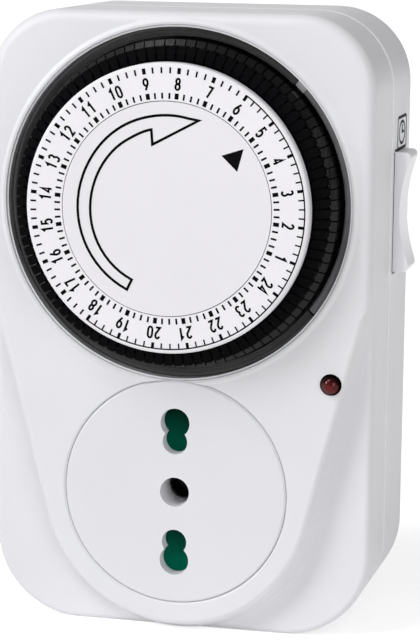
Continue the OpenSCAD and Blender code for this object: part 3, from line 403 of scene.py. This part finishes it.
def smoke(name, inner, middle, edge, rough):
    """Glossy smoke-tinted plastic of the ring: a painted reflection makes it paler towards its inner edge,
    and painted shade makes it black at its outer edge and on its foot in the gap.
    """
    s = Surface(name, rough, Specular_IOR_Level=0.4)
    # painted shade on the foot and the outer edge, painted reflection on the pale band inside them
    s.colour(s.off_axis(0, DIAL_Z, RING_FOOT_R, RING_R),
             [(0.0, edge), (0.34, edge), (0.37, inner), (0.66, middle), (0.88, shade(middle, 0.7)),
              (0.96, edge)])
    s.times(s.noise(9, 3.0), [(0.3, grey(0.8)), (0.7, grey(1.2))])
    s.roughness(s.noise(2.5, 3.0), rough - 0.04, rough + 0.06)
    s.bump(s.noise(1.4, 2.0), 0.006)
    return s.material


def segment_finish(name):
    """Black push segments: fine ribs drawn along the way they slide."""
    s = Surface(name, 0.5, Specular_IOR_Level=0.03)
    s.colour(s.noise(5, 3.0), [(0.3, (0.0015, 0.0013, 0.0018)), (0.7, (0.0032, 0.003, 0.0036))])
    s.roughness(s.noise(1.5, 3.0), 0.4, 0.55)
    s.bump(s.noise(0.35, 2.0, (1, 16, 1)), 0.03)
    return s.material


def segment_gloss(name):
    """Polished sloping edge of the segments, finely striped."""
    s = Surface(name, 0.2, Specular_IOR_Level=0.2)
    s.colour(s.noise(3, 3.0), [(0.3, (0.0015, 0.0015, 0.002)), (0.7, (0.005, 0.0045, 0.0055))])
    s.roughness(s.noise(0.3, 3.0), 0.14, 0.26)
    s.bump(s.noise(0.3, 2.0, (1, 8, 8)), 0.035)
    return s.material


def ring_gloss(name):
    """Polished inner edge of the dark ring."""
    s = Surface(name, 0.16, Specular_IOR_Level=0.5)
    s.colour(s.noise(4, 3.0), [(0.3, (0.03, 0.03, 0.031)), (0.7, (0.05, 0.05, 0.052))])
    s.roughness(s.noise(1.5, 3.0), 0.12, 0.22)
    s.bump(s.noise(1.0, 2.0), 0.004)
    return s.material


def shutter_finish(name):
    """Green plastic of the shutter, darker towards the top of each opening with painted shade and paler at
    its foot with painted light.
    """
    s = Surface(name, 0.4, Specular_IOR_Level=0.02)
    s.colour(s.noise(3, 3.0), [(0.3, (0.0, 0.07, 0.041)), (0.7, (0.0, 0.086, 0.051))])
    # painted shade at the top of each opening, painted light at its foot
    s.times(s.along("Z", *SHUTTER_SPAN),
            [(0.0, grey(1.9)), (0.28, grey(0.5)), (0.7, grey(1.6)), (1.0, grey(0.1))])
    s.roughness(s.noise(2, 2.0), 0.35, 0.45)
    s.bump(s.noise(GRAIN, 2.0), 0.01)
    return s.material


def magnet_finish(name):
    """Sintered magnet: dark grey and grainy."""
    s = Surface(name, 0.7)
    s.colour(s.noise(0.7, 5.0), [(0.3, (0.03, 0.03, 0.033)), (0.7, (0.07, 0.07, 0.075))])
    s.bump(s.noise(0.3, 4.0), 0.02)
    return s.material


def wound_wire(name):
    """Enamelled wire, one turn beside the other."""
    s = Surface(name, 0.3, Metallic=0.7, Coat_Weight=0.5)
    wave = s.nodes.new("ShaderNodeTexWave")
    wave.bands_direction = "Y"
    wave.inputs["Scale"].default_value = 1800
    s.links.new(s.place.outputs["Object"], wave.inputs["Vector"])
    s.colour(wave.outputs["Fac"], [(0.0, (0.16, 0.05, 0.015)), (1.0, (0.62, 0.25, 0.09))])
    s.bump(wave.outputs["Fac"], 0.05)
    return s.material


def lamp_glass(name):
    """Slightly tinted clear glass of the neon lamp."""
    s = Surface(name, 0.03, Transmission_Weight=0.9, IOR=1.5)
    s.colour(s.noise(1.5, 2.0), [(0.3, (0.98, 0.8, 0.7)), (0.7, (1.0, 0.9, 0.82))])
    s.bump(s.noise(1.2, 1.0), 0.003)
    return s.material


def slot_materials():
    """One finish for each material slot of the record."""
    white = (0.795, 0.795, 0.825)
    dial = (0.865, 0.85, 0.885)
    return {
        "housing_white": housing_finish("housing_white", white, 0.42),
        "insert_white": moulded("insert_white", (0.78, 0.78, 0.81), 0.45),
        "dial_white": moulded("dial_white", dial, 0.5, depth=0.003, mottle=0.012),
        "disc_white": moulded("disc_white", shade(dial, 0.945), 0.5, depth=0.003, mottle=0.012),
        # rocker_white: set paler than the housing white to make up for the shade the body casts on the
        # rocker's front, which is painted light
        "rocker_white": moulded("rocker_white", (0.95, 0.94, 0.98), 0.3, mottle=0.01),
        "shutter_green": shutter_finish("shutter_green"),
        "dial_black": moulded("dial_black", (0.004, 0.0035, 0.005), 0.42, mottle=0.15,
                              Specular_IOR_Level=0.04),
        "segment_black": segment_finish("segment_black"),
        # ring_black: dark smoke plastic whose grey is partly painted reflection; ring_window: pale smoke
        # plastic made paler still to make up for shade, partly painted light
        "ring_black": smoke("ring_black", (0.19, 0.19, 0.193), (0.105, 0.105, 0.107), grey(0.003), 0.22),
        "ring_window": smoke("ring_window", (0.48, 0.48, 0.5), (0.4, 0.4, 0.42), grey(0.05), 0.25),
        "lamp_red": clear_red("lamp_red"),
        "inner_grey": moulded("inner_grey", (0.5, 0.5, 0.49), 0.5, mottle=0.05),
        "inner_ivory": moulded("inner_ivory", (0.84, 0.8, 0.68), 0.42, mottle=0.04),
        "brass": metal("brass", (0.78, 0.57, 0.26), 0.3, (12, 1, 1)),
        # contact_dark: metal made almost black so that the earth hole looks dark, which is painted shade
        "contact_dark": metal("contact_dark", (0.05, 0.045, 0.04), 0.45, (1, 6, 1)),
        "blade_bronze": metal("blade_bronze", (0.72, 0.42, 0.22), 0.32, (1, 1, 14)),
        "pin_nickel": metal("pin_nickel", (0.72, 0.71, 0.68), 0.22, tarnish=0.05),
        "steel": metal("steel", (0.6, 0.6, 0.61), 0.34, (8, 1, 1)),
        "contact_silver": metal("contact_silver", (0.86, 0.85, 0.82), 0.25, tarnish=0.2),
        "winding_copper": wound_wire("winding_copper"),
        "magnet": magnet_finish("magnet"),
        "neon_glass": lamp_glass("neon_glass"),
        "resistor_body": moulded("resistor_body", (0.55, 0.42, 0.26), 0.35, mottle=0.15),
    }


def dress_frame():
    """Gives every CAD node the finish of its slot."""
    finishes = slot_materials()
    for part in frame["record"]["subparts"]:
        node = frame["nodes"][part["node"]]
        finish = finishes[part["material_slot"]]
        if not node.material_slots:
            node.data.materials.append(finish)
        for slot in node.material_slots:
            slot.material = finish


def ink(name):
    """Pad-printed ink: slightly uneven black."""
    s = Surface(name, 0.5, Specular_IOR_Level=0.03)
    s.colour(s.noise(0.8, 4.0), [(0.3, (0.0015, 0.0015, 0.002)), (0.75, (0.005, 0.005, 0.006))])
    s.bump(s.noise(0.25, 3.0), 0.004)
    return s.material


# ---- print on the dial and the side, and painted shade at the rocker's gap ----

def hour_angle(hour):
    """Angle of an hour on the dial at rest: the hours run anticlockwise."""
    return math.radians(POINTER + HOUR_PITCH * (hour - POINTER_HOUR))


def polar(radius, angle):
    return (radius * math.cos(angle), radius * math.sin(angle))


def on_dial(x, z):
    """Point of the dial's face, from millimetres off its axis to the object's frame in metres."""
    return (x * MM, (DIAL_FACE - PRINT_GAP) * MM, (DIAL_Z + z) * MM)


def bar(angle, inner, outer, width):
    """Radial bar of the dial print."""
    c, s = math.cos(angle), math.sin(angle)
    half = width / 2
    return [(r * c - side * half * s, r * s + side * half * c) for r, side in
            ((inner, -1), (outer, -1), (outer, 1), (inner, 1))]


def arc_band(radius, start, end, width, steps):
    """Band along an arc as quads."""
    quads = []
    for i in range(steps):
        a, b = (start + (end - start) * k / steps for k in (i, i + 1))
        quads.append([polar(radius - width / 2, a), polar(radius + width / 2, a),
                      polar(radius + width / 2, b), polar(radius - width / 2, b)])
    return quads


def stroke(points, width, closed=True):
    """Line drawn as a band of the given width, with mitred corners."""
    count = len(points)
    points = [Vector(p) for p in points]
    inner, outer = [], []
    for i, here in enumerate(points):
        before, after = points[i - 1], points[(i + 1) % count]
        if not closed and i == 0:
            before = here * 2 - after
        if not closed and i == count - 1:
            after = here * 2 - before
        into, away = (here - before).normalized(), (after - here).normalized()
        normal = Vector((-into.y, into.x)) + Vector((-away.y, away.x))
        normal = normal.normalized() / max(0.35, math.sqrt((1 + into.dot(away)) / 2))
        inner.append(here + normal * width / 2)
        outer.append(here - normal * width / 2)
    pairs = [(i, (i + 1) % count) for i in range(count if closed else count - 1)]
    return [[inner[i], outer[i], outer[k], inner[k]] for i, k in pairs]


def corner_at(degrees, radius):
    return polar(radius, math.radians(degrees))


def eased(stops):
    """Points of an arc whose radius eases from one (degrees, radius) to the next."""
    steps = 16
    points = [corner_at(*stops[0])]
    for (a, low), (b, high) in zip(stops, stops[1:]):
        for i in range(1, steps + 1):
            t = i / steps
            ease = t * t * (3 - 2 * t)
            points.append(corner_at(a + (b - a) * t, low + (high - low) * ease))
    return points


def facing_up(polygon):
    """The polygon wound anticlockwise, so that its face looks out of the print."""
    area = sum(a[0] * b[1] - b[0] * a[1] for a, b in zip(polygon, polygon[1:] + polygon[:1]))
    return polygon if area > 0 else polygon[::-1]


def print_piece(name, polygons, place, material, body):
    """One printed layer: flat polygons set on a face by place, riding on a body."""
    vertices, faces = [], []
    for polygon in polygons:
        start = len(vertices)
        vertices += [place(p[0], p[1]) for p in facing_up(list(polygon))]
        faces.append(range(start, len(vertices)))
    mesh = bpy.data.meshes.new(name)
    mesh.from_pydata(vertices, [], faces)
    mesh.materials.append(material)
    piece = bpy.data.objects.new(name, mesh)
    bpy.context.scene.collection.objects.link(piece)
    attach(piece, body)


def bow(x, y, half_w, half_h, start, end, steps=12):
    """Points of an elliptical bow, its angles in degrees."""
    angles = (math.radians(start + (end - start) * i / steps) for i in range(steps + 1))
    return [(x + half_w * math.cos(a), y + half_h * math.sin(a)) for a in angles]


# strokes of the digits, across 0 to 1 and up 0 to 1
DIGITS = {
    "0": [bow(0.5, 0.7, 0.5, 0.3, 0, 180) + bow(0.5, 0.3, 0.5, 0.3, 180, 360) + [(1, 0.7)]],
    "1": [[(0.12, 0.78), (0.62, 1), (0.62, 0)]],
    "2": [bow(0.5, 0.72, 0.47, 0.28, 165, -35) + [(0.03, 0), (1, 0)]],
    "3": [bow(0.48, 0.76, 0.44, 0.24, 150, -85), bow(0.48, 0.27, 0.5, 0.27, 80, -150)],
    "4": [[(0.72, 0), (0.72, 1), (0, 0.28), (1, 0.28)]],
    "5": [[(0.92, 1), (0.14, 1), (0.08, 0.52)] + bow(0.48, 0.31, 0.5, 0.31, 125, -150)],
    "6": [[(0.72, 1), (0.12, 0.52)] + bow(0.5, 0.3, 0.5, 0.3, 165, 525, 20)],
    "7": [[(0, 1), (1, 1), (0.38, 0)]],
    "8": [bow(0.5, 0.76, 0.42, 0.24, -90, 270, 20), bow(0.5, 0.26, 0.5, 0.26, -90, 270, 20)],
    "9": [[(0.28, 0), (0.88, 0.48)] + bow(0.5, 0.7, 0.5, 0.3, -15, 345, 20)],
}


def print_numbers(material):
    """Hours 1 to 24, their tops outwards."""
    line_w, line_h = NUMBER_W - NUMBER_STROKE, NUMBER_H - NUMBER_STROKE
    polygons = []
    for hour in range(1, HOURS + 1):
        angle = hour_angle(hour)
        out, along = Vector(polar(1, angle)), Vector((math.sin(angle), -math.cos(angle)))
        text = str(hour)
        for i, digit in enumerate(text):
            left = (i - (len(text) - 1) / 2) * NUMBER_PITCH - line_w / 2
            for line in DIGITS[digit]:
                points = [out * (NUMBER_R + (y - 0.5) * line_h) + along * (left + x * line_w)
                          for x, y in line]
                polygons += stroke(points, NUMBER_STROKE, closed=False)
    print_piece("hour_numbers", polygons, on_dial, material, "dial")


def print_ticks(material):
    """Two rings of quarter-hour ticks, and the line that joins the outer ones of the night."""
    polygons = []
    for quarter in range(HOURS * QUARTERS):
        hour = quarter / QUARTERS
        kind = 0 if quarter % QUARTERS == 0 else 1
        angle = hour_angle(hour)
        night = hour >= NIGHT_FROM or hour <= NIGHT_TO - HOURS
        polygons.append(bar(angle, *INNER_TICKS, INNER_WIDTHS[kind]))
        polygons.append(bar(angle, *OUTER_TICKS, (NIGHT_WIDTHS if night else OUTER_WIDTHS)[kind]))
    print_piece("hour_ticks", polygons, on_dial, material, "dial")
    radius = OUTER_TICKS[1]
    past = NIGHT_LINE_END / radius
    start, end = hour_angle(NIGHT_FROM) - past, hour_angle(NIGHT_TO) + past
    print_piece("night_line", arc_band(radius, start, end, NIGHT_LINE_WIDTH, 120), on_dial, material, "dial")


def print_arrow(material):
    """Outlined arrow that shows which way the dial turns, and the pointer."""
    path = [corner_at(*ARROW_TIP)] + eased(ARROW_OUTER) + eased(ARROW_INNER) + [corner_at(*ARROW_BARB)]
    print_piece("turning_arrow", stroke(path, ARROW_STROKE), on_dial, material, "housing")
    print_piece("pointer_triangle", [POINTER_CORNERS], on_dial, material, "housing")


def on_side(y, z):
    """Point of the side, from millimetres to the object's frame in metres."""
    return ((SIDE_X + PRINT_GAP) * MM, y * MM, z * MM)


def print_clock_sign(material):
    """Small clock in a frame on the side, above the rocker."""
    y, z = SIGN_MIDDLE
    half_y, half_z = SIGN_HALF
    outline = []
    for turn, (side_y, side_z) in enumerate(((1, 1), (-1, 1), (-1, -1), (1, -1))):
        centre = (y + side_y * (half_y - SIGN_CORNER), z + side_z * (half_z - SIGN_CORNER))
        outline += bow(*centre, SIGN_CORNER, SIGN_CORNER, 90 * turn, 90 * turn + 90, 6)
    face = bow(y, z, *SIGN_FACE_HALF, 0, 351, 39)
    upright = ((-0.4, -0.25), (0.4, -0.25), (0.4, 1.55), (-0.4, 1.55))
    level = ((0.4, -0.25), (2.3, -0.1), (2.3, 0.2), (0.4, 0.35))
    hands = [[(y + across, z + up) for across, up in hand] for hand in (upright, level)]
    polygons = stroke(outline, SIGN_STROKE) + stroke(face, SIGN_FACE_STROKE) + hands
    print_piece("clock_sign", polygons, on_side, material, "housing")


def shade_rocker_gap(material):
    """Painted shade: a black strip along the front edge of the rocker's window, where the gap between rocker
    and window lies in shade.
    """
    low, high = ROCKER_MIDDLE_Z - ROCKER_HALF, ROCKER_MIDDLE_Z + ROCKER_HALF
    near, far = ROCKER_FRONT_Y - ROCKER_GAP_FROM, ROCKER_FRONT_Y - ROCKER_GAP_TO
    corners = ((near + ROCKER_GAP_LEAN, low), (far, low), (far, high), (near, high))
    print_piece("rocker_gap_painted_shade", [corners], on_side, material, "housing")


# ---- forms that the rigid pieces lack ----

def closed_piece(name, vertices, faces, material, body, smooth=False):
    """Closed mesh that rides on a body; points are in millimetres, their heights from the dial's axis."""
    mesh = bpy.data.meshes.new(name)
    mesh.from_pydata([(x * MM, y * MM, (DIAL_Z + z) * MM) for x, y, z in vertices], [], faces)
    mesh.materials.append(material)
    shell = bmesh.new()
    shell.from_mesh(mesh)
    bmesh.ops.recalc_face_normals(shell, faces=shell.faces)
    shell.to_mesh(mesh)
    shell.free()
    for polygon in mesh.polygons:
        polygon.use_smooth = smooth
    piece = bpy.data.objects.new(name, mesh)
    bpy.context.scene.collection.objects.link(piece)
    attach(piece, body)


def make_ring_bead(material):
    """Rounded inner edge of the dark ring, which catches the light."""
    steps, sides = 120, 10
    vertices = []
    for i in range(steps + 1):
        a = math.radians(RING_FROM + (RING_TO - RING_FROM) * i / steps)
        for k in range(sides):
            r = BEAD_R + BEAD_HALF * math.cos(math.tau * k / sides)
            y = BEAD_Y + BEAD_HALF * math.sin(math.tau * k / sides)
            vertices.append((r * math.cos(a), y, r * math.sin(a)))
    faces = [tuple(range(sides)), tuple(steps * sides + k for k in range(sides))]
    for i in range(steps):
        here, there = i * sides, (i + 1) * sides
        for k in range(sides):
            after = (k + 1) % sides
            faces.append((here + k, here + after, there + after, there + k))
    closed_piece("ring_inner_bead", vertices, faces, material, "housing", smooth=True)


def make_segment_rims(material):
    """Sloping outer edges of the push segments, one for each segment."""
    for first in range(0, HOURS, GROUP_HOURS):
        vertices, faces = [], []
        for i in range(GROUP_HOURS * QUARTERS):
            middle = hour_angle(first) + math.radians(SEGMENT_PITCH * i)
            start = len(vertices)
            for side in (-1, 1):
                for r, y in RIM_SECTION:
                    a = middle + side * (math.radians(SEGMENT_PITCH) / 2 - SEGMENT_GAP / 2 / r)
                    vertices.append((r * math.cos(a), y, r * math.sin(a)))
            faces += [[start + k for k in face] for face in
                      ((0, 1, 2, 3), (7, 6, 5, 4), (0, 4, 5, 1), (1, 5, 6, 2), (2, 6, 7, 3), (3, 7, 4, 0))]
        hours = f"{first}_to_{first + GROUP_HOURS}"
        closed_piece(f"segment_rims_{hours}", vertices, faces, material,
                     f"segment_group_{hours}")


make_camera()
make_studio()
dress_frame()
black_ink = ink("print_black")
print_numbers(black_ink)
print_ticks(black_ink)
print_arrow(black_ink)
print_clock_sign(black_ink)
# painted shade along the rocker's front gap, in black ink
shade_rocker_gap(black_ink)
make_segment_rims(segment_gloss("segment_gloss"))
make_ring_bead(ring_gloss("ring_gloss"))

bpy.context.scene.view_settings.view_transform = "Standard"
